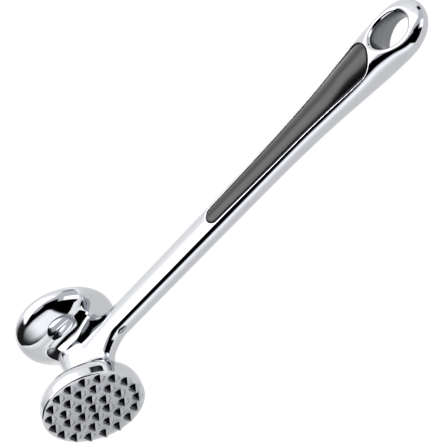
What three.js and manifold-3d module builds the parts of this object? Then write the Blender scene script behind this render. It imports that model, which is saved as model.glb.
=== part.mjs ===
// Two-faced meat mallet, lying on its side. Millimetres, +Z up.
//
// A plated casting forms the handle, its hanging loop and the short arms of the head. A spiked disc and
// a smooth disc, both with a crowned back, are held on the ends of the arms by threaded studs.
// Soft-touch grip pads on rigid carriers fill a shallow pocket on each side of the handle.
//
// Everything is first drawn in the mallet's own axes: the head's centre is at the origin, X runs along
// the handle, Y along the arms towards the smooth disc, and Z out of a grip pad. The finished group is
// then tilted about Y so that both discs and the loop end rest on the plane z = 0.

import * as THREE from 'three';
import { mergeVertices } from 'three/addons/utils/BufferGeometryUtils.js';
import Module from 'manifold-3d';

const wasm = await Module();
wasm.setup();

// ---------------------------------------------------------------- driving dimensions

const CLEARANCE = 0.3;            // gap left between pieces that touch

// Head
const DISC_RADIUS = 25;
const DISC_RIM_THICKNESS = 7.7;
const FACE_TO_FACE = 57.4;        // between the two striking planes, spikes not included
const SMOOTH_FACE_FILLET = 3.6;
const SPIKED_FACE_FILLET = 1.2;
const DISC_BACK_FILLET = 2.2;
const DISC_CROWN = [              // how far the back stands up towards the handle, by radius
  { x: 0, rise: 8.34 },
  { x: 4, rise: 8.33 },
  { x: 8, rise: 8.19 },
  { x: 12, rise: 7.67 },
  { x: 16, rise: 6.35 },
  { x: 20, rise: 4.15 },
  { x: 25, rise: 0 },
];

const SPIKE_PITCH = 7.05;         // ring to ring, and about the same round each ring
const SPIKE_HEIGHT = 2.95;
const SPIKE_BASE_RADIUS = 2.9;
const SPIKE_SIDES = 12;
const SPIKE_RINGS = [             // spikes in each ring, and the first one's angle in degrees
  { count: 6, start: -7.1 },
  { count: 12, start: 8.6 },
  { count: 18, start: 13.5 },
];

// Arms: a bar along Y, waisted in the middle and flared towards each disc
const ARM_WAIST_HALF_WIDTH = 9.6;
const ARM_WAIST_HALF_THICKNESS = 5.7;
const ARM_END_HALF_WIDTH = 16.8;
const ARM_END_HALF_THICKNESS = 4.4;
const ARM_WIDTH_GROWTH = 1.7;     // exponents: the higher, the later the arm flares
const ARM_THICKNESS_GROWTH = 2.9;
const ARM_POWER = 2;              // superellipse exponent of the arm's section

// Studs
const STUD_RADIUS = 4;
const STUD_IN_DISC = 9;
const STUD_IN_ARM = 7;
const STUD_CHAMFER = 0.8;

// Handle: half width (Y) and half thickness (Z) at stations along X
const HANDLE_STATIONS = [
  { x: -2, halfWidth: 14.6, halfThickness: 5.05 },
  { x: 18, halfWidth: 14.4, halfThickness: 5.05 },
  { x: 21, halfWidth: 11.8, halfThickness: 5.05 },
  { x: 24, halfWidth: 9.8, halfThickness: 5.05 },
  { x: 27, halfWidth: 8.4, halfThickness: 5.05 },
  { x: 32, halfWidth: 7.6, halfThickness: 5.05 },
  { x: 42, halfWidth: 7.6, halfThickness: 5.05 },
  { x: 63, halfWidth: 7.7, halfThickness: 5.05 },
  { x: 103, halfWidth: 8, halfThickness: 5.1 },
  { x: 143, halfWidth: 8.3, halfThickness: 5.4 },
  { x: 162, halfWidth: 8.8, halfThickness: 5.8 },
  { x: 180, halfWidth: 9.9, halfThickness: 6.3 },
  { x: 199, halfWidth: 11.5, halfThickness: 7.4 },
  { x: 213, halfWidth: 12.3, halfThickness: 8.6 },
  { x: 221, halfWidth: 13.1, halfThickness: 8.1 },
  { x: 228, halfWidth: 13.9, halfThickness: 6.6 },
  { x: 234, halfWidth: 13.9, halfThickness: 5.3 },
  { x: 242.4, halfWidth: 13.9, halfThickness: 4.5 },
];
const SECTION_POWER = 2.4;        // superellipse exponent of the handle's section
const SECTION_SIDES = 40;
const LOOP_CENTRE_X = 228;        // beyond this the plan outline is a half circle
const LOOP_ROUNDING_X = 234;      // beyond this the thickness closes round the tip
const HANDLE_TIP_X = 242.4;
const HANDLE_STEP = 5;            // spacing of sections along the straight stretch
const ROOT_STEP = 1;              // spacing where the handle flares into the arms

// Hanging hole: an egg with its blunt end at the tip, tightest at the middle of the handle's thickness
const HOLE_CENTRE_X = 225.6;
const HOLE_HALF_LENGTH = 9.3;
const HOLE_HALF_WIDTH = 8.3;
const HOLE_SKEW = 0.08;
const HOLE_DRAFT = 0.08;          // outward growth per millimetre away from the middle

// Grip pads: half width of the outline at stations along X, then its rounded ends
const PAD_STATIONS = [
  { x: 106, halfWidth: 4.4 },
  { x: 123, halfWidth: 4.85 },
  { x: 143, halfWidth: 5.35 },
  { x: 162, halfWidth: 5.9 },
  { x: 180, halfWidth: 6.9 },
  { x: 196, halfWidth: 8.5 },
  { x: 204, halfWidth: 9.1 },
];
const PAD_NOSE_X = 101.7;
const PAD_END_X = 213.3;
const POCKET_FLOOR_Z = 2.3;
const CARRIER_THICKNESS = 1;
const PEG_RADIUS = 1.5;
const PEG_LENGTH = 1.4;
const PEG_POSITIONS_X = [112, 145, 178, 203];

// ---------------------------------------------------------------- materials

const chrome = new THREE.MeshStandardMaterial({ color: 0xd8dadd, roughness: 0.08, metalness: 1 });
const steel = new THREE.MeshStandardMaterial({ color: 0x9a9da1, roughness: 0.35, metalness: 1 });
const softTouch = new THREE.MeshStandardMaterial({ color: 0x1c1c1e, roughness: 0.55, metalness: 0 });
const rigidPlastic = new THREE.MeshStandardMaterial({ color: 0x101012, roughness: 0.4, metalness: 0 });

// ---------------------------------------------------------------- solids

function signedVolume(geometry) {
  const position = geometry.attributes.position;
  const index = geometry.index;
  const [a, b, c] = [new THREE.Vector3(), new THREE.Vector3(), new THREE.Vector3()];
  let volume = 0;
  for (let i = 0; i < index.count; i += 3) {
    a.fromBufferAttribute(position, index.getX(i));
    b.fromBufferAttribute(position, index.getX(i + 1));
    c.fromBufferAttribute(position, index.getX(i + 2));
    volume += a.dot(b.cross(c)) / 6;
  }
  return volume;
}

// A closed three.js geometry as a solid that can be joined and cut
function solidFrom(geometry) {
  const bare = geometry.clone();
  bare.deleteAttribute('normal');
  bare.deleteAttribute('uv');
  const merged = mergeVertices(bare, 1e-4);
  const triVerts = [];
  const flip = signedVolume(merged) < 0;
  const index = merged.index;
  for (let i = 0; i < index.count; i += 3) {
    const [a, b, c] = [index.getX(i), index.getX(i + 1), index.getX(i + 2)];
    if (a === b || b === c || c === a) continue;
    triVerts.push(a, flip ? c : b, flip ? b : c);
  }
  return new wasm.Manifold(new wasm.Mesh({
    numProp: 3,
    vertProperties: new Float32Array(merged.attributes.position.array),
    triVerts: new Uint32Array(triVerts),
  }));
}

function geometryFrom(solid) {
  const mesh = solid.getMesh();
  const geometry = new THREE.BufferGeometry();
  const positions = new Float32Array(mesh.numVert * 3);
  for (let i = 0; i < mesh.numVert; i++) {
    positions.set(mesh.vertProperties.subarray(i * mesh.numProp, i * mesh.numProp + 3), i * 3);
  }
  geometry.setAttribute('position', new THREE.BufferAttribute(positions, 3));
  geometry.setIndex(new THREE.BufferAttribute(new Uint32Array(mesh.triVerts), 1));
  geometry.computeVertexNormals();
  return geometry;
}

// Closed solid through a row of rings with equal point counts, capped flat at both ends
function loft(rings) {
  const sides = rings[0].length;
  const positions = rings.flat().flatMap((p) => [p.x, p.y, p.z]);
  const indices = [];
  for (let r = 0; r < rings.length - 1; r++) {
    for (let s = 0; s < sides; s++) {
      const a = r * sides + s;
      const b = r * sides + (s + 1) % sides;
      indices.push(a, b, b + sides, a, b + sides, a + sides);
    }
  }
  for (const [first, turn] of [[0, 1], [(rings.length - 1) * sides, -1]]) {
    const centre = new THREE.Vector3();
    for (let s = 0; s < sides; s++) centre.add(rings[first / sides][s]);
    centre.divideScalar(sides);
    const hub = positions.length / 3;
    positions.push(centre.x, centre.y, centre.z);
    for (let s = 0; s < sides; s++) {
      const a = first + s;
      const b = first + (s + 1) % sides;
      if (turn > 0) indices.push(hub, b, a);
      else indices.push(hub, a, b);
    }
  }
  const geometry = new THREE.BufferGeometry();
  geometry.setAttribute('position', new THREE.Float32BufferAttribute(positions, 3));
  geometry.setIndex(indices);
  return geometry;
}

// Turned solid about the Y axis. The profile is a list of [radius, y] that starts and ends on the axis.
function turned(profile, segments) {
  return solidFrom(new THREE.LatheGeometry(profile.map(([r, y]) => new THREE.Vector2(r, y)), segments));
}

// Prism with its outline in X and Y and its height along Z
function prism(outline, zLow, zHigh) {
  const shape = new THREE.Shape(outline.map(([x, y]) => new THREE.Vector2(x, y)));
  const geometry = new THREE.ExtrudeGeometry(shape, { depth: zHigh - zLow, bevelEnabled: false });
  geometry.translate(0, 0, zLow);
  return solidFrom(geometry);
}

function unionOf(solids) {
  return solids.reduce((sum, solid) => sum.add(solid));
}

// ---------------------------------------------------------------- curves

// Smooth value between stations without overshoot: a cubic whose slope at each station is the harmonic
// mean of its neighbours' slopes, and zero where the values turn
function along(stations, key, x) {
  const last = stations.length - 1;
  if (x <= stations[0].x) return stations[0][key];
  if (x >= stations[last].x) return stations[last][key];
  const slopeAfter = (i) => (stations[i + 1][key] - stations[i][key]) / (stations[i + 1].x - stations[i].x);
  const slopeAt = (i) => {
    if (i === 0) return slopeAfter(0);
    if (i === last) return slopeAfter(last - 1);
    const before = slopeAfter(i - 1);
    const after = slopeAfter(i);
    return before * after <= 0 ? 0 : 2 * before * after / (before + after);
  };
  let i = 0;
  while (x > stations[i + 1].x) i++;
  const h = stations[i + 1].x - stations[i].x;
  const t = (x - stations[i].x) / h;
  const [p0, p1] = [stations[i][key], stations[i + 1][key]];
  const [m0, m1] = [slopeAt(i) * h, slopeAt(i + 1) * h];
  const t2 = t * t;
  const t3 = t2 * t;
  return (2 * t3 - 3 * t2 + 1) * p0 + (t3 - 2 * t2 + t) * m0 + (3 * t2 - 2 * t3) * p1 + (t3 - t2) * m1;
}

// 1 until start, then a quarter circle down to 0 at end
function roundedEnd(x, start, end) {
  const t = THREE.MathUtils.clamp((x - start) / (end - start), 0, 1);
  return Math.sqrt(1 - t * t);
}

function handleHalfWidth(x) {
  return along(HANDLE_STATIONS, 'halfWidth', x) * roundedEnd(x, LOOP_CENTRE_X, HANDLE_TIP_X);
}

function handleHalfThickness(x) {
  return along(HANDLE_STATIONS, 'halfThickness', x) * roundedEnd(x, LOOP_ROUNDING_X, HANDLE_TIP_X);
}

function superellipse(halfWidth, halfThickness, power) {
  const bulge = (v) => Math.sign(v) * Math.abs(v) ** (2 / power);
  const points = [];
  for (let s = 0; s < SECTION_SIDES; s++) {
    const angle = 2 * Math.PI * s / SECTION_SIDES;
    points.push([halfWidth * bulge(Math.cos(angle)), halfThickness * bulge(Math.sin(angle))]);
  }
  return points;
}

function handleSection(x) {
  return superellipse(handleHalfWidth(x), handleHalfThickness(x), SECTION_POWER)
    .map(([y, z]) => new THREE.Vector3(x, y, z));
}

function handleStations() {
  const stations = [];
  const rootEnd = 34;
  const endSteps = 9;
  const tipMargin = 0.05;
  for (let x = HANDLE_STATIONS[0].x; x < rootEnd; x += ROOT_STEP) stations.push(x);
  for (let x = rootEnd; x < LOOP_CENTRE_X; x += HANDLE_STEP) stations.push(x);
  for (let i = 0; i <= endSteps; i++) {
    const angle = Math.PI / 2 * i / endSteps;
    stations.push(LOOP_CENTRE_X + (HANDLE_TIP_X - LOOP_CENTRE_X - tipMargin) * Math.sin(angle));
  }
  return stations;
}

// Ring of points round the hanging hole at height z
function holeRing(z) {
  const ring = [];
  const sides = 40;
  const growth = HOLE_DRAFT * Math.abs(z);
  for (let i = 0; i < sides; i++) {
    const angle = 2 * Math.PI * i / sides;
    const u = Math.cos(angle);
    const x = HOLE_CENTRE_X + (HOLE_HALF_LENGTH + growth) * u;
    const y = (HOLE_HALF_WIDTH + growth) * Math.sin(angle) * (1 + HOLE_SKEW * u);
    ring.push(new THREE.Vector3(x, y, z));
  }
  return ring;
}

// Outline in X and Y of a grip pad, drawn in by margin all round
function padOutline(margin) {
  const noseCentre = PAD_STATIONS[0].x;
  const endCentre = PAD_STATIONS[PAD_STATIONS.length - 1].x;
  const noseHalf = PAD_STATIONS[0].halfWidth - margin;
  const endHalf = PAD_STATIONS[PAD_STATIONS.length - 1].halfWidth - margin;
  const [noseLength, endLength] = [noseCentre - PAD_NOSE_X - margin, PAD_END_X - margin - endCentre];
  const arcSteps = 8;
  const sideSteps = 14;
  const upper = [];
  for (let i = 0; i < arcSteps; i++) {
    const angle = Math.PI / 2 * i / arcSteps;
    upper.push([noseCentre - noseLength * Math.cos(angle), noseHalf * Math.sin(angle)]);
  }
  for (let i = 0; i < sideSteps; i++) {
    const x = noseCentre + (endCentre - noseCentre) * i / sideSteps;
    upper.push([x, along(PAD_STATIONS, 'halfWidth', x) - margin]);
  }
  for (let i = 0; i <= arcSteps; i++) {
    const angle = Math.PI / 2 * i / arcSteps;
    upper.push([endCentre + endLength * Math.sin(angle), endHalf * Math.cos(angle)]);
  }
  const lower = upper.slice(1, -1).reverse().map(([x, y]) => [x, -y]);
  return [...upper, ...lower];
}

// ---------------------------------------------------------------- pieces

const discFaceY = FACE_TO_FACE / 2;
const rimBackY = discFaceY - DISC_RIM_THICKNESS;
const crownY = rimBackY - DISC_CROWN[0].rise;

function armSection(y) {
  const t = Math.abs(y) / rimBackY;
  const grown = (waist, end, growth) => waist + (end - waist) * t ** growth;
  const halfWidth = grown(ARM_WAIST_HALF_WIDTH, ARM_END_HALF_WIDTH, ARM_WIDTH_GROWTH);
  const halfThickness = grown(ARM_WAIST_HALF_THICKNESS, ARM_END_HALF_THICKNESS, ARM_THICKNESS_GROWTH);
  return superellipse(halfWidth, halfThickness, ARM_POWER)
    .map(([u, v]) => new THREE.Vector3(u, y, -v));
}

function arms() {
  const rings = [];
  const steps = 26;
  for (let i = 0; i <= steps; i++) {
    rings.push(armSection(-rimBackY + 2 * rimBackY * i / steps));
  }
  return solidFrom(loft(rings));
}

// The disc's back as [radius, y] points from the axis to the radius, standing off towards the handle
function crownProfile(radius, standoff) {
  const steps = 16;
  const points = [];
  for (let i = 0; i <= steps; i++) {
    const r = radius * i / steps;
    points.push([r, rimBackY - along(DISC_CROWN, 'rise', r) - standoff]);
  }
  return points;
}

// Everything that the casting leaves to the disc on the +Y side
function discSeat() {
  const beyond = 60;
  return turned([
    ...crownProfile(DISC_RADIUS, CLEARANCE),
    [beyond, rimBackY - CLEARANCE],
    [beyond, beyond],
    [0, beyond],
  ], 72);
}

// A stud or its hole, along Y from yLow to yHigh
function studSolid(radius, yLow, yHigh, chamfer) {
  return turned([
    [0, yLow],
    [radius - chamfer, yLow],
    [radius, yLow + chamfer],
    [radius, yHigh - chamfer],
    [radius - chamfer, yHigh],
    [0, yHigh],
  ], 32);
}

function stud(side) {
  const solid = studSolid(STUD_RADIUS, crownY - STUD_IN_ARM, crownY + STUD_IN_DISC, STUD_CHAMFER);
  return side > 0 ? solid : solid.rotate([180, 0, 0]);
}

function studHole(side) {
  const low = crownY - STUD_IN_ARM - CLEARANCE;
  const high = crownY + STUD_IN_DISC + CLEARANCE;
  const solid = studSolid(STUD_RADIUS + CLEARANCE, low, high, STUD_CHAMFER);
  return side > 0 ? solid : solid.rotate([180, 0, 0]);
}

// Plain disc on the +Y side, with its striking face at discFaceY
function plainDisc(faceFillet) {
  const filletSteps = 5;
  const profile = crownProfile(DISC_RADIUS - DISC_BACK_FILLET, 0);
  const [, innerY] = profile[profile.length - 1];
  const shoulderY = rimBackY + DISC_BACK_FILLET;
  for (let i = 1; i <= filletSteps; i++) {
    const angle = Math.PI / 2 * i / filletSteps;
    profile.push([
      DISC_RADIUS - DISC_BACK_FILLET * (1 - Math.sin(angle)),
      shoulderY - (shoulderY - innerY) * Math.cos(angle),
    ]);
  }
  for (let i = 0; i <= filletSteps; i++) {
    const angle = Math.PI / 2 * i / filletSteps;
    profile.push([
      DISC_RADIUS - faceFillet * (1 - Math.cos(angle)),
      discFaceY - faceFillet * (1 - Math.sin(angle)),
    ]);
  }
  profile.push([0, discFaceY]);
  return turned(profile, 72);
}

function spike(x, z) {
  const root = 0.4;
  const height = SPIKE_HEIGHT + root;
  const baseRadius = SPIKE_BASE_RADIUS * height / SPIKE_HEIGHT;
  const cone = new THREE.ConeGeometry(baseRadius, height, SPIKE_SIDES);
  cone.rotateX(Math.PI);
  cone.translate(x, -discFaceY - SPIKE_HEIGHT + height / 2, z);
  return solidFrom(cone);
}

function spikes() {
  const cones = [spike(0, 0)];
  SPIKE_RINGS.forEach(({ count, start }, ring) => {
    const radius = SPIKE_PITCH * (ring + 1);
    for (let i = 0; i < count; i++) {
      const angle = THREE.MathUtils.degToRad(start + 360 * i / count);
      cones.push(spike(radius * Math.cos(angle), radius * Math.sin(angle)));
    }
  });
  return unionOf(cones);
}

function smoothDisc() {
  return plainDisc(SMOOTH_FACE_FILLET).subtract(studHole(1));
}

function spikedDisc() {
  const disc = plainDisc(SPIKED_FACE_FILLET).rotate([180, 0, 0]);
  return disc.add(spikes()).subtract(studHole(-1));
}

function handleBlank() {
  return solidFrom(loft(handleStations().map(handleSection)))
    .subtract(discSeat())
    .subtract(discSeat().rotate([180, 0, 0]));
}

function pegs(radius, zLow, zHigh) {
  return unionOf(PEG_POSITIONS_X.map((x) => {
    const peg = new THREE.CylinderGeometry(radius, radius, zHigh - zLow, 20);
    peg.rotateX(Math.PI / 2);
    peg.translate(x, 0, (zLow + zHigh) / 2);
    return solidFrom(peg);
  }));
}

const ABOVE_HANDLE = 20;

// Pocket with its peg holes, for the pad on the +Z side
function pocket() {
  const well = prism(padOutline(0), POCKET_FLOOR_Z, ABOVE_HANDLE);
  const holeFloor = POCKET_FLOOR_Z - PEG_LENGTH - CLEARANCE;
  return well.add(pegs(PEG_RADIUS + CLEARANCE, holeFloor, POCKET_FLOOR_Z + 1));
}

function padCarrier() {
  const low = POCKET_FLOOR_Z + CLEARANCE;
  const plate = prism(padOutline(CLEARANCE + 0.4), low, low + CARRIER_THICKNESS);
  return plate.add(pegs(PEG_RADIUS, POCKET_FLOOR_Z - PEG_LENGTH, low + CARRIER_THICKNESS / 2));
}

function gripPad(blank) {
  const low = POCKET_FLOOR_Z + CLEARANCE + CARRIER_THICKNESS + CLEARANCE;
  return blank.intersect(prism(padOutline(CLEARANCE), low, ABOVE_HANDLE));
}

function toUnderside(solid) {
  return solid.rotate([180, 0, 0]);
}

function handleCasting(blank) {
  const hangingHole = solidFrom(loft([-ABOVE_HANDLE, 0, ABOVE_HANDLE].map(holeRing)));
  return blank
    .add(arms())
    .subtract(discSeat())
    .subtract(discSeat().rotate([180, 0, 0]))
    .subtract(pocket())
    .subtract(toUnderside(pocket()))
    .subtract(hangingHole)
    .subtract(studHole(1))
    .subtract(studHole(-1));
}

// ---------------------------------------------------------------- assembly

// Tilt at which the lowest point of the loop end comes down to the plane under the discs
function restingTilt() {
  const depthAt = (tilt) => {
    let depth = 0;
    for (let x = PAD_NOSE_X; x <= HANDLE_TIP_X; x += 0.25) {
      depth = Math.max(depth, x * Math.sin(tilt) + handleHalfThickness(x) * Math.cos(tilt));
    }
    return depth;
  };
  let [low, high] = [0, 0.2];
  for (let i = 0; i < 40; i++) {
    const middle = (low + high) / 2;
    if (depthAt(middle) > DISC_RADIUS) high = middle;
    else low = middle;
  }
  return low;
}

const blank = handleBlank();
const pieces = [
  ['handle_casting', handleCasting(blank), chrome],
  ['spiked_disc', spikedDisc(), chrome],
  ['smooth_disc', smoothDisc(), chrome],
  ['spiked_disc_stud', stud(-1), steel],
  ['smooth_disc_stud', stud(1), steel],
  ['grip_pad_upper', gripPad(blank), softTouch],
  ['grip_pad_lower', toUnderside(gripPad(blank)), softTouch],
  ['pad_carrier_upper', padCarrier(), rigidPlastic],
  ['pad_carrier_lower', toUnderside(padCarrier()), rigidPlastic],
];

const mallet = new THREE.Group();
for (const [name, solid, material] of pieces) {
  const mesh = new THREE.Mesh(geometryFrom(solid), material);
  mesh.name = name;
  mallet.add(mesh);
}
mallet.rotation.y = restingTilt();
mallet.position.z = DISC_RADIUS;

// Centre the footprint on the origin
mallet.updateMatrixWorld(true);
const bounds = new THREE.Box3();
mallet.children.forEach((mesh) => bounds.expandByObject(mesh, true));
const centre = bounds.getCenter(new THREE.Vector3());
mallet.position.x -= centre.x;
mallet.position.y -= centre.y;
mallet.position.z -= bounds.min.z;

export default mallet;
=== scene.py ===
import bpy
import math
import numpy as np
from mathutils import Matrix, Vector


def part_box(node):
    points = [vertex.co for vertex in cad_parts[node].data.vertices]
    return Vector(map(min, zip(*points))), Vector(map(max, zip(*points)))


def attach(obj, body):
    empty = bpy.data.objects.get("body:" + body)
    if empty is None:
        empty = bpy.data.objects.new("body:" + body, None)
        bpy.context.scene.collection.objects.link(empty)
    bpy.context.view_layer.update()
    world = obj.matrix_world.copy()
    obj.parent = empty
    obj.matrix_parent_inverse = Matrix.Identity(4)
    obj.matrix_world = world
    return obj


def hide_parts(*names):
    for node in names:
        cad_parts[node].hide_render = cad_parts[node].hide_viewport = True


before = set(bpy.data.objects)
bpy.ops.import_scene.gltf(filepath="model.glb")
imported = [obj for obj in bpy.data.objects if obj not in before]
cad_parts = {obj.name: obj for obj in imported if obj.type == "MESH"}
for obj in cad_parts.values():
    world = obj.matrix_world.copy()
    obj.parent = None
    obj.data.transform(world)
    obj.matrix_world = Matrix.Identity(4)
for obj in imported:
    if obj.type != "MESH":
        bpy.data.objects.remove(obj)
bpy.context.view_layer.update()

MM = 0.001

# ---------------------------------------------------------------- where the mallet lies

# The mallet's own axes: the head's centre is the origin, X runs along the handle, Y along the head
# towards the smooth disc, Z out of the upper grip pad. Everything is drawn in them, in millimetres,
# and then tilted about Y, because the mallet lies on its discs and on the end of its handle.


def middle(node):
    low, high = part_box(node)
    return (low + high) / 2


HEAD = (middle("spiked_disc_stud") + middle("smooth_disc_stud")) / 2


def place(points):
    """Own axes in millimetres to the frame in metres."""
    c, s = math.cos(TILT), math.sin(TILT)
    p = np.asarray(points, float) * MM
    return np.c_[p[:, 0] * c + p[:, 2] * s, p[:, 1], -p[:, 0] * s + p[:, 2] * c] + np.array(HEAD)


def turn(normals):
    c, s = math.cos(TILT), math.sin(TILT)
    n = np.asarray(normals, float)
    return np.c_[n[:, 0] * c + n[:, 2] * s, n[:, 1], -n[:, 0] * s + n[:, 2] * c]


# ---------------------------------------------------------------- dimensions, in millimetres

DISC_R = 25.0
DISC_BACK = 21.0
DISC_FACE = 28.7

HANDLE = [  # x, half width, half thickness
    (42, 7.6, 5.05), (63, 7.7, 5.05), (103, 8.0, 5.1), (143, 8.3, 5.4), (162, 8.8, 5.8),
    (180, 9.9, 6.3), (199, 11.5, 7.4), (213, 12.3, 8.6), (221, 13.1, 8.1), (228, 13.9, 6.6),
    (234, 13.9, 5.3), (242.4, 13.9, 4.5),
]
HANDLE_POWER = 2.4       # superellipse exponent of the handle's section
ROOT_WIDENING = 7.0      # extra half width where the handle meets the arms
ROOT_END_X = 31.8        # where that has died away
ROOT_LENGTH = 14.0
LOOP_X = 228.0           # from here the plan outline closes
LOOP_ROUNDING_X = 234.0  # and from here the thickness does
TIP_X = 242.4
HOLE = (225.6, 8.8, 7.8, 0.08, 0.16)  # centre x, half length, half width, skew, draft
HOLE_LIP = 2.6                        # rounding of the hole's edge

PAD = [  # x, half width
    (106, 4.4), (123, 4.85), (143, 5.35), (162, 5.9), (180, 6.9), (196, 8.5), (204, 9.1),
]
PAD_NOSE = 101.7
PAD_END = 213.3
POCKET_FLOOR = 2.3
POCKET_EDGE = 0.7
PAD_POWER = 1.8          # a little more crowned than the handle
PAD_PROUD = 0.15
PAD_SWELL = 0.8          # how far it swells towards the loop, round the place below
PAD_SWELL_X = 195.0
PAD_SWELL_LENGTH = 11.0
PAD_SWELL_HALF_WIDTH = 8.5
PAD_GAP = 0.2            # to the pocket's wall
PAD_EDGE = 0.8
PAD_UNDERSIDE = 0.3      # above the pocket's floor


def along(stations, key, x):
    """Smooth value between stations, without overshoot."""
    xs = np.array([s[0] for s in stations], float)
    v = np.array([s[key] for s in stations], float)
    d = np.diff(v) / np.diff(xs)
    m = np.zeros(len(xs))
    m[0], m[-1] = d[0], d[-1]
    for i in range(1, len(xs) - 1):
        m[i] = 0 if d[i - 1] * d[i] <= 0 else 2 * d[i - 1] * d[i] / (d[i - 1] + d[i])
    xc = np.clip(np.asarray(x, float), xs[0], xs[-1])
    i = np.clip(np.searchsorted(xs, xc, side="right") - 1, 0, len(xs) - 2)
    h = xs[i + 1] - xs[i]
    t = (xc - xs[i]) / h
    return ((2 * t**3 - 3 * t**2 + 1) * v[i] + (t**3 - 2 * t**2 + t) * m[i] * h
            + (3 * t**2 - 2 * t**3) * v[i + 1] + (t**3 - t**2) * m[i + 1] * h)


RESTING_STRETCH = (150.0, 215.6)  # the part of the handle, up to the hole, that can meet the floor


def resting_tilt():
    """Angle about Y at which the underside of the handle meets the floor."""
    x = np.linspace(*RESTING_STRETCH, 200)
    b = along(HANDLE, 2, x)
    low, high = 0.02, 0.2
    for _ in range(40):
        tilt = (low + high) / 2
        touches = (x * math.sin(tilt) + b * math.cos(tilt)).max() > HEAD.z / MM
        low, high = (low, tilt) if touches else (tilt, high)
    return low


TILT = resting_tilt()


def soft_min(a, b, k):
    """Smaller of two distances, with a fillet of about radius k where they meet."""
    h = np.clip(0.5 + 0.5 * (b - a) / k, 0, 1)
    return b + (a - b) * h - k * h * (1 - h)


def soft_max(a, b, k):
    return -soft_min(-a, -b, k)


# ---------------------------------------------------------------- the casting as a distance field


def handle_field(x, y, z, power=HANDLE_POWER):
    t = np.clip((ROOT_END_X - x) / ROOT_LENGTH, 0, 1)
    a = along(HANDLE, 1, x) + ROOT_WIDENING * t * t
    b = along(HANDLE, 2, x)
    t = np.clip((x - LOOP_X) / (TIP_X - LOOP_X), 0, 0.999)
    u = np.clip((x - LOOP_ROUNDING_X) / (TIP_X - LOOP_ROUNDING_X), 0, 0.999)
    a = a * np.sqrt(1 - t * t)
    b = b * np.sqrt(1 - u * u)
    ya = np.abs(y) / a
    zb = np.abs(z) / b
    q = (ya**power + zb**power + 1e-9) ** (1 / power)
    gy = ya ** (power - 1) / a * q ** (1 - power)
    gz = zb ** (power - 1) / b * q ** (1 - power)
    d = (q - 1) / np.maximum(np.sqrt(gy * gy + gz * gz), 0.02)
    return soft_max(d, x - TIP_X, 0.5)


ARM_WAIST = (9.6, 5.7)       # half width and half thickness at the middle
ARM_END = (16.8, 4.4)        # the same at the disc's rim plane
ARM_GROWTH = (1.68, 2.9)    # how late the arm flares
ARM_POWER = 1.99
ARM_LENGTH = 26.0
ROOT_FILLET = 2.3
DISC_FILLET = 6.8


def arm_field(x, y, z):
    t = np.clip(np.abs(y) / DISC_BACK, 1e-6, 1.0)
    wx = ARM_WAIST[0] + (ARM_END[0] - ARM_WAIST[0]) * t**ARM_GROWTH[0]
    wz = ARM_WAIST[1] + (ARM_END[1] - ARM_WAIST[1]) * t**ARM_GROWTH[1]
    dwx = (ARM_END[0] - ARM_WAIST[0]) * ARM_GROWTH[0] * t ** (ARM_GROWTH[0] - 1) / DISC_BACK
    dwz = (ARM_END[1] - ARM_WAIST[1]) * ARM_GROWTH[1] * t ** (ARM_GROWTH[1] - 1) / DISC_BACK
    u = np.abs(x) / wx
    v = np.abs(z) / wz
    q = (u**ARM_POWER + v**ARM_POWER + 1e-9) ** (1 / ARM_POWER)
    gx = u ** (ARM_POWER - 1) / wx * q ** (1 - ARM_POWER)
    gz = v ** (ARM_POWER - 1) / wz * q ** (1 - ARM_POWER)
    gy = np.where(t < 1, gx * u * dwx + gz * v * dwz, 0)
    return (q - 1) / np.maximum(np.sqrt(gx * gx + gy * gy + gz * gz), 0.02)


# How far the disc's back rises towards the handle: its slope at stations along the radius
DISC_SLOPE = [(0, 0.0), (5, 0.01), (10, 0.115), (18, 0.545), (25, 0.988), (32, 0.988)]
BACK_EDGE = 2.63       # rounding of the rim at the disc's back
SMOOTH_EDGE = 4.25     # the same at each disc's striking face
SPIKED_EDGE = 1.3
CROWN_STEP = 0.05
CROWN_RADIUS = np.arange(0, 30.01, CROWN_STEP)
CROWN_SLOPE = np.interp(CROWN_RADIUS, [s[0] for s in DISC_SLOPE], [s[1] for s in DISC_SLOPE])
CROWN_FALL = np.r_[0, np.cumsum((CROWN_SLOPE[1:] + CROWN_SLOPE[:-1]) * CROWN_STEP / 2)]
CROWN_RISE = np.interp(DISC_R, CROWN_RADIUS, CROWN_FALL) - CROWN_FALL


def disc_section(r, y, face_edge=SMOOTH_EDGE):
    """Distance to the disc's section, without its teeth."""
    slope = np.interp(r, CROWN_RADIUS, CROWN_SLOPE)
    back = (DISC_BACK - np.interp(r, CROWN_RADIUS, CROWN_RISE) - y) / np.sqrt(1 + slope * slope)
    return soft_max(soft_max(r - DISC_R, back, BACK_EDGE), y - DISC_FACE, face_edge)


def hole_field(x, y, z):
    cx, hl, hw, skew, draft = HOLE
    g = draft * np.abs(z)
    u = (x - cx) / (hl + g)
    v = y / ((hw + g) * (1 + skew * u))
    q = np.sqrt(u * u + v * v + 1e-9)
    gr = np.sqrt((u / (hl + g)) ** 2 + (v / (hw + g)) ** 2) / q
    return (1 - q) / np.maximum(gr, 0.02)  # positive inside the hole


def pad_plan_field(x, y):
    """Distance to the pad's outline in plan, negative inside."""
    nc, ec = PAD[0][0], PAD[-1][0]
    half = along(PAD, 1, x)
    side = np.abs(y) - half
    nose = np.sqrt(((x - nc) / (nc - PAD_NOSE)) ** 2 + (y / PAD[0][1]) ** 2 + 1e-9)
    nose = (nose - 1) * PAD[0][1]
    end = np.sqrt(((x - ec) / (PAD_END - ec)) ** 2 + (y / PAD[-1][1]) ** 2 + 1e-9)
    end = (end - 1) * PAD[-1][1]
    return np.where(x < nc, nose, np.where(x > ec, end, side))


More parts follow.
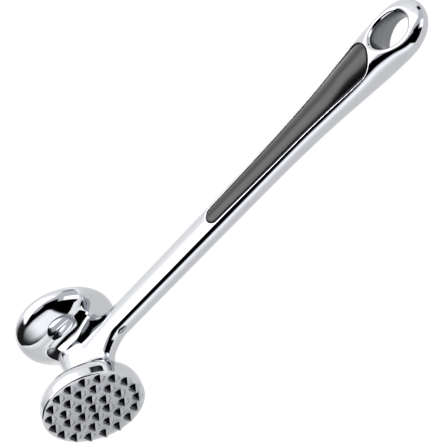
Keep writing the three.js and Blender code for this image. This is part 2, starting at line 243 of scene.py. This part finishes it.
def casting_field(x, y, z):
    arm = np.maximum(arm_field(x, y, z), np.abs(y) - ARM_LENGTH)
    d = soft_min(np.maximum(handle_field(x, y, z), -2 - x), arm, ROOT_FILLET)
    d = soft_min(d, disc_section(np.hypot(x, z), np.abs(y)) + 0.03, DISC_FILLET)
    hole = hole_field(x, y, z)
    d = soft_max(d, hole, HOLE_LIP)
    plan = pad_plan_field(x, y)
    well = np.maximum(plan, POCKET_FLOOR - np.abs(z))
    d = soft_max(d, -well, POCKET_EDGE)
    return d


# ---------------------------------------------------------------- a smooth mesh from a field


def surface(field, low, high, step):
    """Quads round every sign change of the field, moved onto it, and the field's own normals."""
    low, high = np.floor(np.array(low, float) / step) * step, np.array(high, float)
    n = np.ceil((high - low) / step).astype(int) + 1
    xs, ys, zs = (low[i] + step * np.arange(n[i]) for i in range(3))
    f = np.empty(n, np.float32)
    for i in range(0, n[0], 32):
        gx, gy, gz = np.meshgrid(xs[i:i + 32], ys, zs, indexing="ij")
        f[i:i + 32] = field(gx, gy, gz)
    inside = f < 0
    corner = sum(inside[dx:n[0] - 1 + dx, dy:n[1] - 1 + dy, dz:n[2] - 1 + dz].astype(np.int8)
                 for dx in (0, 1) for dy in (0, 1) for dz in (0, 1))
    cells = (corner > 0) & (corner < 8)
    cell_id = np.full(cells.shape, -1, np.int64)
    where = np.argwhere(cells)
    cell_id[cells] = np.arange(len(where))
    total = np.zeros((len(where), 3))
    count = np.zeros(len(where))
    offsets = [(dx, dy, dz) for dx in (0, 1) for dy in (0, 1) for dz in (0, 1)]
    for o in offsets:
        for axis in range(3):
            if o[axis] == 1:
                continue
            o2 = list(o)
            o2[axis] = 1
            a = f[tuple((where + o).T)]
            b = f[tuple((where + o2).T)]
            cross = (a < 0) != (b < 0)
            t = np.where(cross, a / np.where(cross, a - b, 1), 0)
            p = np.array(o, float) + np.zeros((len(where), 3))
            p[:, axis] += t
            total[cross] += p[cross]
            count[cross] += 1
    points = low + step * (where + total / count[:, None])
    quads = []
    for axis in range(3):
        u, v = (axis + 1) % 3, (axis + 2) % 3
        a = inside[tuple(slice(0, -1) if k == axis else slice(None) for k in range(3))]
        b = inside[tuple(slice(1, None) if k == axis else slice(None) for k in range(3))]
        for flip, edges in ((False, np.argwhere(a & ~b)), (True, np.argwhere(~a & b))):
            e = edges[(edges[:, u] > 0) & (edges[:, v] > 0)]
            e = e[(e[:, u] < n[u] - 1) & (e[:, v] < n[v] - 1)]
            ring = []
            for du, dv in ((0, 0), (-1, 0), (-1, -1), (0, -1)):
                c = e.copy()
                c[:, u] += du
                c[:, v] += dv
                ring.append(cell_id[tuple(c.T)])
            q = np.stack(ring, 1)
            quads.append(q[:, ::-1] if flip else q)
    quads = np.concatenate(quads)
    h = 0.02

    def gradient(p):
        x, y, z = p.T
        return np.stack([field(x + h, y, z) - field(x - h, y, z),
                         field(x, y + h, z) - field(x, y - h, z),
                         field(x, y, z + h) - field(x, y, z - h)], 1) / (2 * h)

    for _ in range(3):
        g = gradient(points)
        size = np.maximum((g * g).sum(1), 0.05)
        move = -field(*points.T)[:, None] * g / size[:, None]
        length = np.linalg.norm(move, axis=1, keepdims=True)
        points = points + move * np.minimum(1, 0.5 * step / np.maximum(length, 1e-9))
    g = gradient(points)
    g /= np.maximum(np.linalg.norm(g, axis=1, keepdims=True), 1e-9)
    return points, quads, g


def joined(*parts):
    points, quads, normals, base = [], [], [], 0
    for p, q, n in parts:
        points.append(p)
        quads.append(q + base)
        normals.append(n)
        base += len(p)
    return np.concatenate(points), np.concatenate(quads), np.concatenate(normals)


def mesh_object(name, points, faces, material, normals=None, also=None):
    """Smooth-shaded piece from points in the mallet's own axes.

    also is a second material and the mask of the faces that take it.
    """
    mesh = bpy.data.meshes.new(name)
    verts = place(points)
    faces = np.asarray(faces)
    mesh.from_pydata(verts.tolist(), [], faces.tolist())
    mesh.materials.append(material)
    if also is not None:
        mesh.materials.append(also[0])
        mesh.polygons.foreach_set("material_index", np.asarray(also[1], np.int32))
    mesh.shade_smooth()
    if normals is not None:
        mesh.normals_split_custom_set_from_vertices(turn(normals).tolist())
    mesh.update()
    obj = bpy.data.objects.new(name, mesh)
    bpy.context.scene.collection.objects.link(obj)
    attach(obj, "root")
    return obj


# ---------------------------------------------------------------- materials


def surface_material(name, color, metallic, roughness, grain, bump_mm, patch=0.0, patch_grain=60,
                     edge=1.0, level=0.5):
    """Shader whose roughness wanders by a grain, with a fine bump and faint handling marks.

    grain is in grains per metre, roughness a (low, high) pair.
    """
    m = bpy.data.materials.new(name)
    m.use_nodes = True
    tree = m.node_tree
    shader = tree.nodes["Principled BSDF"]
    shader.inputs["Metallic"].default_value = metallic
    shader.inputs["Specular Tint"].default_value = (edge, edge, edge, 1)
    shader.inputs["Specular IOR Level"].default_value = level
    where = tree.nodes.new("ShaderNodeTexCoord").outputs["Object"]

    def noise(scale, detail):
        n = tree.nodes.new("ShaderNodeTexNoise")
        n.inputs["Scale"].default_value = scale
        n.inputs["Detail"].default_value = detail
        tree.links.new(where, n.inputs["Vector"])
        return n.outputs[0]

    def ramp(value, low, high, start=0.35, stop=0.65):
        r = tree.nodes.new("ShaderNodeMapRange")
        r.inputs["From Min"].default_value = start
        r.inputs["From Max"].default_value = stop
        r.inputs["To Min"].default_value = low
        r.inputs["To Max"].default_value = high
        tree.links.new(value, r.inputs["Value"])
        return r.outputs[0]

    fine = noise(grain, 3)
    marks = noise(patch_grain, 4)
    tree.links.new(ramp(fine, *roughness), shader.inputs["Roughness"])
    tint = tree.nodes.new("ShaderNodeMix")
    tint.data_type = "RGBA"
    tree.links.new(ramp(marks, 0.0, patch, 0.5, 0.75), tint.inputs["Factor"])
    tint.inputs["A"].default_value = (*color, 1)
    tint.inputs["B"].default_value = (*[0.82 * c + 0.01 for c in color], 1)
    tree.links.new(tint.outputs["Result"], shader.inputs["Base Color"])
    bump = tree.nodes.new("ShaderNodeBump")
    bump.inputs["Strength"].default_value = 1.0
    bump.inputs["Distance"].default_value = bump_mm * MM
    tree.links.new(fine, bump.inputs["Height"])
    tree.links.new(bump.outputs["Normal"], shader.inputs["Normal"])
    return m


CHROME = surface_material("chrome", (0.53, 0.54, 0.565), 1.0, (0.025, 0.05), 900, 0.0008, patch=0.5,
                          edge=0.94)
CAST = surface_material("cast_chrome", (0.42, 0.43, 0.455), 1.0, (0.05, 0.16), 900, 0.3, patch=0.9,
                        edge=0.9)
TOOTH = surface_material("tooth_chrome", (0.44, 0.45, 0.475), 1.0, (0.05, 0.12), 1100, 0.02, patch=0.9,
                         edge=0.9)
# inside the hole: rougher unpolished chrome, with a darker colour that is painted shade in the recess
UNPOLISHED_AND_SHADED = surface_material("unpolished_chrome_painted_shade", (0.2, 0.205, 0.22), 1.0, (0.14, 0.24), 1500, 0.01,
                              patch=0.7, edge=0.9)
SOFT = surface_material("soft_touch", (0.003, 0.003, 0.0033), 0.0, (0.2, 0.26), 5200, 0.005, patch=0.6,
                        level=0.45)
STEEL = surface_material("zinc_steel", (0.6, 0.61, 0.63), 1.0, (0.3, 0.45), 2500, 0.01, patch=0.8)
PLASTIC = surface_material("carrier_plastic", (0.02, 0.02, 0.022), 0.0, (0.5, 0.62), 3000, 0.01, patch=0.6)

# ---------------------------------------------------------------- discs


def disc_profile(face_edge):
    """Points and normals down the disc's section, from the middle of its back to the middle of its face."""
    across_back = np.r_[np.linspace(0.01, 20, 60), np.linspace(20, DISC_R, 40)[1:]]
    up_rim = np.linspace(DISC_BACK, DISC_FACE, 42)[1:-1]
    across_face = np.r_[np.linspace(DISC_R, 19, 40)[1:], np.linspace(19, 0.01, 12)[1:]]
    r = np.r_[across_back, np.full(len(up_rim), DISC_R), across_face]
    y = np.r_[DISC_BACK - np.interp(across_back, CROWN_RADIUS, CROWN_RISE), up_rim,
              np.full(len(across_face), DISC_FACE)]
    h = 1e-3

    def section(r, y):
        return disc_section(r, y, face_edge)

    for _ in range(12):
        gr = (section(r + h, y) - section(r - h, y)) / (2 * h)
        gy = (section(r, y + h) - section(r, y - h)) / (2 * h)
        move = section(r, y) / np.maximum(gr * gr + gy * gy, 0.2)
        r, y = np.maximum(r - move * gr, 0.01), y - move * gy
    size = np.hypot(gr, gy)
    return r, y, gr / size, gy / size


def disc(name, side, face_edge, segments=256):
    """side is 1 for the disc at +Y and -1 for the toothed one at -Y."""
    r, y, nr, ny = disc_profile(face_edge)
    angle = np.linspace(0, 2 * math.pi, segments, endpoint=False)
    c, s = np.cos(angle)[None], np.sin(angle)[None]
    flat = np.ones((1, segments))
    points = np.stack([r[:, None] * c, side * y[:, None] * flat, r[:, None] * s], 2).reshape(-1, 3)
    normals = np.stack([nr[:, None] * c, side * ny[:, None] * flat, nr[:, None] * s], 2).reshape(-1, 3)
    i, k = np.meshgrid(np.arange(len(r) - 1), np.arange(segments), indexing="ij")
    a, b = (i * segments + k).ravel(), (i * segments + (k + 1) % segments).ravel()
    faces = np.stack([a, b, b + segments, a + segments], 1)
    struck = np.repeat(r[:-1] < DISC_R - 2.2, segments) & np.repeat(y[:-1] > DISC_FACE - 0.3, segments)
    return mesh_object(name, points, faces[:, ::-1] if side > 0 else faces, CHROME, normals,
                       also=(CAST, struck) if side < 0 else None)


SPIKE_PITCH = 7.05                                # from ring to ring
SPIKE_RINGS = [(6, -7.1), (12, 8.6), (18, 13.5)]  # spikes in the ring, and the first one's angle
SPIKE_PROFILE = [  # radius, height above the face
    (3.0, -0.05), (2.3, 0.73), (1.55, 1.56), (0.85, 2.32), (0.3, 2.9), (0.12, 3.05), (0.01, 3.1),
]
SPIKE_SIDES = 48


def spike_centres():
    centres = [(0, 0)]
    for ring, (count, first) in enumerate(SPIKE_RINGS, start=1):
        for i in range(count):
            a = math.radians(first + 360 * i / count)
            centres.append((SPIKE_PITCH * ring * math.cos(a), SPIKE_PITCH * ring * math.sin(a)))
    return centres


def spikes(name):
    points, faces = [], []
    for cx, cz in spike_centres():
        base = len(points)
        for radius, rise in SPIKE_PROFILE:
            for side in range(SPIKE_SIDES):
                a = 2 * math.pi * side / SPIKE_SIDES
                points.append((cx + radius * math.cos(a), -DISC_FACE - rise, cz + radius * math.sin(a)))
        for level in range(len(SPIKE_PROFILE) - 1):
            for side in range(SPIKE_SIDES):
                a = base + level * SPIKE_SIDES + side
                b = base + level * SPIKE_SIDES + (side + 1) % SPIKE_SIDES
                faces.append((a, b, b + SPIKE_SIDES, a + SPIKE_SIDES))
    return mesh_object(name, points, faces, TOOTH)


# ---------------------------------------------------------------- the pieces

STEP = 0.5              # mesh size at the head and the shank
FINE = 0.3         # and at the grip
HEAD_END = STEP * math.ceil(40 / STEP)
GRIP_START = STEP * math.ceil(98 / STEP)


def build_casting():
    head = surface(casting_field, (-26.4, -29.4, -26.4), (HEAD_END, 29.4, 26.4), STEP)
    shank = surface(casting_field, (HEAD_END - STEP / 2, -16, -11), (GRIP_START, 16, 11), STEP)
    grip = surface(casting_field, (GRIP_START - FINE, -16, -11), (TIP_X + 1.6, 16, 11), FINE)
    p, q, n = joined(head, shank, grip)
    # the discs are pieces of their own
    in_disc = (disc_section(np.hypot(p[:, 0], p[:, 2]), np.abs(p[:, 1])) < -0.02) | (np.abs(p[:, 1]) > 24)
    q = q[~in_disc[q].all(1)]
    x, y, z = p[q].mean(1).T
    # the hole's inner wall takes the darker chrome, which is painted shade in the recess
    in_hole = (hole_field(x, y, z) > -0.12) & (np.abs(z) < along(HANDLE, 2, x) - 1.6)
    casting = mesh_object("casting", p, q, CHROME, n, also=(UNPOLISHED_AND_SHADED, in_hole))
    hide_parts("handle_casting")


def build_discs():
    for name, side, face_edge, node in (("plain_disc", 1, SMOOTH_EDGE, "smooth_disc"),
                                        ("toothed_disc", -1, SPIKED_EDGE, "spiked_disc")):
        o = disc(name, side, face_edge)
        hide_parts(node)
    teeth = spikes("teeth")


def pad_field(x, y, z):
    d = handle_field(x, y, z, PAD_POWER) - PAD_PROUD
    swell = PAD_SWELL * np.exp(-((x - PAD_SWELL_X) / PAD_SWELL_LENGTH) ** 2)
    d = d - swell * np.clip(1 - (y / PAD_SWELL_HALF_WIDTH) ** 2, 0, 1)
    plan = pad_plan_field(x, y) + PAD_GAP
    d = soft_max(d, plan, PAD_EDGE)
    return np.maximum(d, POCKET_FLOOR + PAD_UNDERSIDE - z)


def build_pads():
    p, q, n = surface(pad_field, (PAD_NOSE - 2, -11, 1.5), (PAD_END + 2, 11, 12), FINE)
    # the lower one is the upper one turned half round the handle
    for name, flip, node in (("pad_upper", 1, "grip_pad_upper"), ("pad_lower", -1, "grip_pad_lower")):
        o = mesh_object(name, p * [1, flip, flip], q, SOFT, n * [1, flip, flip])
        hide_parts(node)


def dress_hidden_pieces():
    for name, material in (("spiked_disc_stud", STEEL), ("smooth_disc_stud", STEEL),
                           ("pad_carrier_upper", PLASTIC), ("pad_carrier_lower", PLASTIC)):
        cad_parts[name].data.materials.clear()
        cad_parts[name].data.materials.append(material)


build_casting()
build_discs()
build_pads()
dress_hidden_pieces()

# ---------------------------------------------------------------- floor, light and camera


FLOOR_HALF_SIZE = 12.0             # metres
FLOOR_NEAR, FLOOR_FAR = 0.03, 0.3  # distances from the mallet's plane of symmetry, in metres
# glow near the mallet and far from it: the dimmer glow near it is a painted contact shadow
FLOOR_NEAR_LIGHT, FLOOR_FAR_LIGHT = 1.0, 1.5


def floor_glow_with_painted_shadow():
    """White sheet that glows, brighter away from the mallet that lies on it; the dimmer glow near the mallet
    is a painted contact shadow.
    """
    m = bpy.data.materials.new("floor")
    m.use_nodes = True
    nt = m.node_tree
    nt.nodes.clear()
    out = nt.nodes.new("ShaderNodeOutputMaterial")
    e = nt.nodes.new("ShaderNodeEmission")
    e.inputs["Color"].default_value = (1, 1, 1, 1)
    where = nt.nodes.new("ShaderNodeTexCoord").outputs["Object"]
    split = nt.nodes.new("ShaderNodeSeparateXYZ")
    nt.links.new(where, split.inputs[0])
    away = nt.nodes.new("ShaderNodeMath")
    away.operation = "ABSOLUTE"
    nt.links.new(split.outputs["Y"], away.inputs[0])
    level = nt.nodes.new("ShaderNodeMapRange")
    level.inputs["From Min"].default_value = FLOOR_NEAR
    level.inputs["From Max"].default_value = FLOOR_FAR
    level.inputs["To Min"].default_value = FLOOR_NEAR_LIGHT
    level.inputs["To Max"].default_value = FLOOR_FAR_LIGHT
    nt.links.new(away.outputs[0], level.inputs["Value"])
    nt.links.new(level.outputs[0], e.inputs["Strength"])
    nt.links.new(e.outputs[0], out.inputs[0])
    return m


def build_floor():
    mesh = bpy.data.meshes.new("floor")
    e = FLOOR_HALF_SIZE
    mesh.from_pydata([(-e, -e, 0), (e, -e, 0), (e, e, 0), (-e, e, 0)], [], [(0, 1, 2, 3)])
    mesh.materials.append(floor_glow_with_painted_shadow())
    floor = bpy.data.objects.new("floor", mesh)
    bpy.context.scene.collection.objects.link(floor)


build_floor()


def heading(azimuth, elevation):
    a, e = math.radians(azimuth), math.radians(elevation)
    return Vector((math.cos(a) * math.cos(e), math.sin(a) * math.cos(e), math.sin(e)))


# The camera, in the mallet's own axes: what it is aimed at, and where it is from there, in
# millimetres and degrees
CAMERA_AIM = (106.47, -5.12, 0.0)
CAMERA_DISTANCE = 867.42
CAMERA_AZIMUTH = -58.459
CAMERA_ELEVATION = 40.443
CAMERA_ROLL = -67.505
CAMERA_LENS = 153.249


def build_camera():
    back = heading(CAMERA_AZIMUTH, CAMERA_ELEVATION)
    level = Vector((0, 0, 1)).cross(back).normalized()
    rising = back.cross(level)
    roll = math.radians(CAMERA_ROLL)
    right = level * math.cos(roll) + rising * math.sin(roll)
    up = rising * math.cos(roll) - level * math.sin(roll)
    matrix = Matrix(turn([right, up, back]).T.tolist()).to_4x4()
    matrix.translation = Vector(place([Vector(CAMERA_AIM) + back * CAMERA_DISTANCE])[0])
    lens = bpy.data.cameras.new("camera")
    lens.lens = CAMERA_LENS
    lens.sensor_width = 36
    lens.clip_end = 50
    camera = bpy.data.objects.new("camera", lens)
    bpy.context.scene.collection.objects.link(camera)
    camera.matrix_world = matrix
    bpy.context.scene.camera = camera


build_camera()
bpy.context.scene.view_settings.view_transform = "Standard"

# ---------------------------------------------------------------- the studio around the mallet

world = bpy.data.worlds.new("studio")
bpy.context.scene.world = world
world.use_nodes = True
wn = world.node_tree


def wired(kind, inputs, **settings):
    n = wn.nodes.new(kind)
    for k, v in settings.items():
        setattr(n, k, v)
    for k, v in inputs.items():
        if isinstance(v, bpy.types.NodeSocket):
            wn.links.new(v, n.inputs[k])
        else:
            n.inputs[k].default_value = v
    return n.outputs


def laid(under, mask, value):
    """Puts value over what is already there, where the mask says.

    value is one brightness, or (height of the ray, brightness) pairs for a wall that is brighter
    towards its top.
    """
    mix = wn.nodes.new("ShaderNodeMix")
    mix.data_type = "RGBA"
    wn.links.new(mask, mix.inputs["Factor"])
    wn.links.new(under, mix.inputs["A"])
    if isinstance(value, list):
        level = None
        for (h0, v0), (h1, v1) in zip(value, value[1:]):
            part = wired("ShaderNodeMapRange", {"Value": height, "From Min": h0, "From Max": h1,
                                                "To Min": 0.0 if level else v0,
                                                "To Max": v1 - v0 if level else v1})[0]
            level = wired("ShaderNodeMath", {0: level, 1: part})[0] if level else part
        wn.links.new(level, mix.inputs["B"])
    else:
        mix.inputs["B"].default_value = (value, value, value * 1.02, 1)
    return mix.outputs["Result"]


def soft_edge(angle, half, soft):
    """1 inside the half angle and 0 outside it, both in degrees."""
    size = wired("ShaderNodeMath", {0: angle}, operation="ABSOLUTE")[0]
    return wired("ShaderNodeMapRange", {
        "Value": size, "From Min": math.radians(half - soft / 2), "From Max": math.radians(half + soft / 2),
        "To Min": 1.0, "To Max": 0.0}, interpolation_type="SMOOTHSTEP")[0]


def sector(under, azimuth, elevation, half_azimuth, half_elevation, value, soft=(6, 5)):
    """Lays light or shade over a range of azimuths and elevations, with an edge softness for each."""
    ahead = wired("ShaderNodeVectorMath", {0: ray, 1: heading(azimuth, 0)}, operation="DOT_PRODUCT")["Value"]
    across = wired("ShaderNodeVectorMath", {0: ray, 1: heading(azimuth + 90, 0)},
                   operation="DOT_PRODUCT")["Value"]
    turned = wired("ShaderNodeMath", {0: across, 1: ahead}, operation="ARCTAN2")[0]
    raised = wired("ShaderNodeMath", {0: height}, operation="ARCSINE")[0]
    raised = wired("ShaderNodeMath", {0: raised, 1: math.radians(elevation)}, operation="SUBTRACT")[0]
    mask = wired("ShaderNodeMath", {0: soft_edge(turned, half_azimuth, soft[0]),
                                    1: soft_edge(raised, half_elevation, soft[1])},
                 operation="MULTIPLY")[0]
    return laid(under, mask, value)


def panel(under, azimuth, elevation, half_width, half_height, value, soft=3.0, roll=0.0):
    """Lays a soft-edged flat rectangle of light, or of shade."""
    towards = heading(azimuth, elevation)
    side = Vector((-math.sin(math.radians(azimuth)), math.cos(math.radians(azimuth)), 0))
    top = towards.cross(side)
    r = math.radians(roll)
    side, top = side * math.cos(r) + top * math.sin(r), top * math.cos(r) - side * math.sin(r)
    ahead = wired("ShaderNodeVectorMath", {0: ray, 1: towards}, operation="DOT_PRODUCT")["Value"]
    mask = wired("ShaderNodeMath", {0: ahead, 1: 0.02}, operation="GREATER_THAN")[0]
    safe = wired("ShaderNodeMath", {0: ahead, 1: 0.02}, operation="MAXIMUM")[0]
    for axis, half in ((side, half_width), (top, half_height)):
        across = wired("ShaderNodeVectorMath", {0: ray, 1: axis}, operation="DOT_PRODUCT")["Value"]
        slope = wired("ShaderNodeMath", {0: across, 1: safe}, operation="DIVIDE")[0]
        angle = wired("ShaderNodeMath", {0: slope}, operation="ARCTANGENT")[0]
        mask = wired("ShaderNodeMath", {0: mask, 1: soft_edge(angle, half, soft)}, operation="MULTIPLY")[0]
    return laid(under, mask, value)


def by_elevation(pairs):
    return [(math.sin(math.radians(e)), v) for e, v in pairs]


ray = wn.nodes.new("ShaderNodeTexCoord").outputs["Generated"]
height = wired("ShaderNodeSeparateXYZ", {0: ray})["Z"]
AMBIENT = (0.826, 0.838, 0.868, 1)
WALL = by_elevation([(-20, 1.21), (5, 1.21), (22, 1.28), (30, 1.36), (40, 1.5), (50, 3.2), (58, 4.4)])
WALL_BOTTOM, WALL_TOP = -20.0, 84.0


def light_studio():
    """Angles are in degrees, and a value of 0 is a dark part of the room."""
    room = wn.nodes.new("ShaderNodeRGB")
    room.outputs[0].default_value = AMBIENT
    # a wall of light behind the mallet
    light = panel(room.outputs[0], 110, (WALL_BOTTOM + WALL_TOP) / 2, 62, (WALL_TOP - WALL_BOTTOM) / 2, WALL,
                  soft=8)
    # shade beyond the head, then the light past the spiked disc that fades into it
    light = sector(light, 189.0, 17.0, 42.5, 33.0, 0.02, soft=(25.8, 12))
    light = sector(light, -105.0, 20.0, 35.1, 14.7, 1.69, soft=(46.3, 13.2))
    # the dark side of the studio: in front, low and then overhead
    light = sector(light, -54.5, 26.6, 26.3, 37.1, 0.0)
    light = sector(light, -83.5, 58.2, 80.2, 16.5, 0.0, soft=(8, 5))
    # light between the dark side and the loop, then a dark gap beyond the loop
    light = sector(light, -13, 14, 14, 16, 2.2, soft=(6, 6))
    light = panel(light, 41.2, 8, 4.2, 14, 0.0, soft=4, roll=-10)
    background = wn.nodes["Background"]
    wn.links.new(light, background.inputs["Color"])
    background.inputs["Strength"].default_value = 1.0


light_studio()
